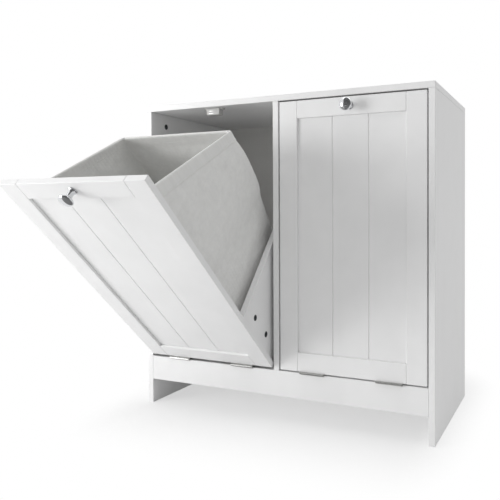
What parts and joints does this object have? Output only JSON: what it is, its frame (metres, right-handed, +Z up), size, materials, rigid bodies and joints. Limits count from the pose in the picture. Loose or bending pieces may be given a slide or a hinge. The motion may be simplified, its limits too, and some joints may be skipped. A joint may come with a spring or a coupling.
{
  "type": "laundry hamper with two bins",
  "caption": "White floor-standing laundry hamper cabinet with tilt-out framed doors, low trays and fabric liners side by side, one tilted open.",
  "frame": {"origin": "middle of the footprint of the whole hamper at rest, with the left bin open, on the floor", "axes": "+Z up, +Y from the doors towards the back panel, +X to the right of someone who faces the doors"},
  "size_m": [0.64, 0.7408, 0.661],
  "materials": {
    "white_board": "satin white lacquered fibreboard",
    "hardboard": "thin white-faced hardboard",
    "knob_chrome": "polished chrome",
    "hinge_steel": "nickel-plated steel",
    "cam_zinc": "dark die-cast zinc",
    "white_plastic": "white moulded plastic",
    "liner_canvas": "off-white woven canvas",
    "rim_wire": "drawn steel wire"
  },
  "bodies": {
    "cabinet": {"left_side_panel": "white_board", "right_side_panel": "white_board", "top_panel": "white_board", "front_rail": "white_board", "bottom_panel": "white_board", "centre_divider": "white_board", "back_panel": "hardboard", "left_front_top_cam_lock": "cam_zinc", "right_front_top_cam_lock": "cam_zinc", "left_rear_top_cam_lock": "cam_zinc", "right_rear_top_cam_lock": "cam_zinc", "left_magnetic_catch": "white_plastic", "right_magnetic_catch": "white_plastic", "left_left_stop_block": "white_plastic", "left_right_stop_block": "white_plastic", "right_left_stop_block": "white_plastic", "right_right_stop_block": "white_plastic", "left_left_hinge_rail_leaf": "hinge_steel", "left_right_hinge_rail_leaf": "hinge_steel", "right_left_hinge_rail_leaf": "hinge_steel", "right_right_hinge_rail_leaf": "hinge_steel"},
    "left_bin": {"left_door_left_stile": "white_board", "left_door_right_stile": "white_board", "left_door_top_rail": "white_board", "left_door_bottom_rail": "white_board", "left_door_panel": "white_board", "left_left_hinge_door_leaf": "hinge_steel", "left_right_hinge_door_leaf": "hinge_steel", "left_knob": "knob_chrome", "left_strike_plate": "hinge_steel", "left_tray_left_board": "white_board", "left_tray_right_board": "white_board", "left_tray_back_board": "white_board", "left_tray_floor_board": "white_board", "left_tray_left_lower_cam_lock": "cam_zinc", "left_tray_left_upper_cam_lock": "cam_zinc", "left_tray_right_lower_cam_lock": "cam_zinc", "left_tray_right_upper_cam_lock": "cam_zinc", "left_liner": "liner_canvas", "left_liner_rim_wire": "rim_wire"},
    "right_bin": {"right_door_left_stile": "white_board", "right_door_right_stile": "white_board", "right_door_top_rail": "white_board", "right_door_bottom_rail": "white_board", "right_door_panel": "white_board", "right_left_hinge_door_leaf": "hinge_steel", "right_right_hinge_door_leaf": "hinge_steel", "right_knob": "knob_chrome", "right_strike_plate": "hinge_steel", "right_tray_left_board": "white_board", "right_tray_right_board": "white_board", "right_tray_back_board": "white_board", "right_tray_floor_board": "white_board", "right_tray_left_lower_cam_lock": "cam_zinc", "right_tray_left_upper_cam_lock": "cam_zinc", "right_tray_right_lower_cam_lock": "cam_zinc", "right_tray_right_upper_cam_lock": "cam_zinc", "right_liner": "liner_canvas", "right_liner_rim_wire": "rim_wire"}
  },
  "joints": [
    {"name": "left_tilt", "type": "hinge", "parent": "cabinet", "child": "left_bin", "pos_m": [-0.157, 0.03763, 0.10625], "axis": [1, 0, 0], "range_deg": [-47.66, 0]},
    {"name": "right_tilt", "type": "hinge", "parent": "cabinet", "child": "right_bin", "pos_m": [0.157, 0.03763, 0.10625], "axis": [1, 0, 0], "range_deg": [0, 47.66]}
  ]
}
